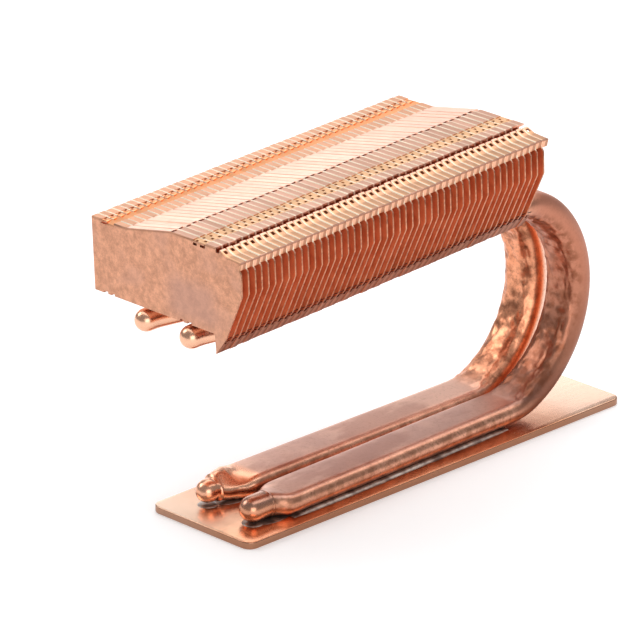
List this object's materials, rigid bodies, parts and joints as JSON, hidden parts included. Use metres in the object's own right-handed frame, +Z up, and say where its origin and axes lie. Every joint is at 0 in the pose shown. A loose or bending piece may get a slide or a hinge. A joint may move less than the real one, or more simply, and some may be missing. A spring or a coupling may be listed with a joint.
{
  "type": "ssd heatsink",
  "caption": "Copper heat sink for a stick solid state drive: flattened U-bend heat pipes carry a stack of interlocked fins above a thin base plate.",
  "frame": {"origin": "centre of the base plate's underside", "axes": "+Y along the plate towards the U-bends, +X across the plate towards the fins' long leg, +Z up from the plate to the fin stack"},
  "size_m": [0.0296, 0.0835, 0.0496],
  "materials": {
    "plate_copper": "bare rolled copper, satin",
    "pipe_copper": "bare drawn copper tube, polished with heat tint",
    "fin_copper": "bare stamped copper sheet, satin",
    "solder": "dull grey solder"
  },
  "bodies": {
    "root": {"base_plate": "plate_copper", "heat_pipe_left": "pipe_copper", "heat_pipe_right": "pipe_copper", "fin_01": "fin_copper", "fin_02": "fin_copper", "fin_03": "fin_copper", "fin_04": "fin_copper", "fin_05": "fin_copper", "fin_06": "fin_copper", "fin_07": "fin_copper", "fin_08": "fin_copper", "fin_09": "fin_copper", "fin_10": "fin_copper", "fin_11": "fin_copper", "fin_12": "fin_copper", "fin_13": "fin_copper", "fin_14": "fin_copper", "fin_15": "fin_copper", "fin_16": "fin_copper", "fin_17": "fin_copper", "fin_18": "fin_copper", "fin_19": "fin_copper", "fin_20": "fin_copper", "fin_21": "fin_copper", "fin_22": "fin_copper", "fin_23": "fin_copper", "fin_24": "fin_copper", "fin_25": "fin_copper", "fin_26": "fin_copper", "fin_27": "fin_copper", "fin_28": "fin_copper", "fin_29": "fin_copper", "fin_30": "fin_copper", "fin_31": "fin_copper", "fin_32": "fin_copper", "fin_33": "fin_copper", "fin_34": "fin_copper", "fin_35": "fin_copper", "fin_36": "fin_copper", "fin_37": "fin_copper", "fin_38": "fin_copper", "fin_39": "fin_copper", "fin_40": "fin_copper", "fin_41": "fin_copper", "fin_42": "fin_copper", "fin_43": "fin_copper", "fin_44": "fin_copper", "fin_45": "fin_copper", "fin_46": "fin_copper", "fin_47": "fin_copper", "fin_48": "fin_copper", "solder_bed": "solder", "solder_strip_left": "solder", "solder_strip_right": "solder"}
  },
  "joints": []
}
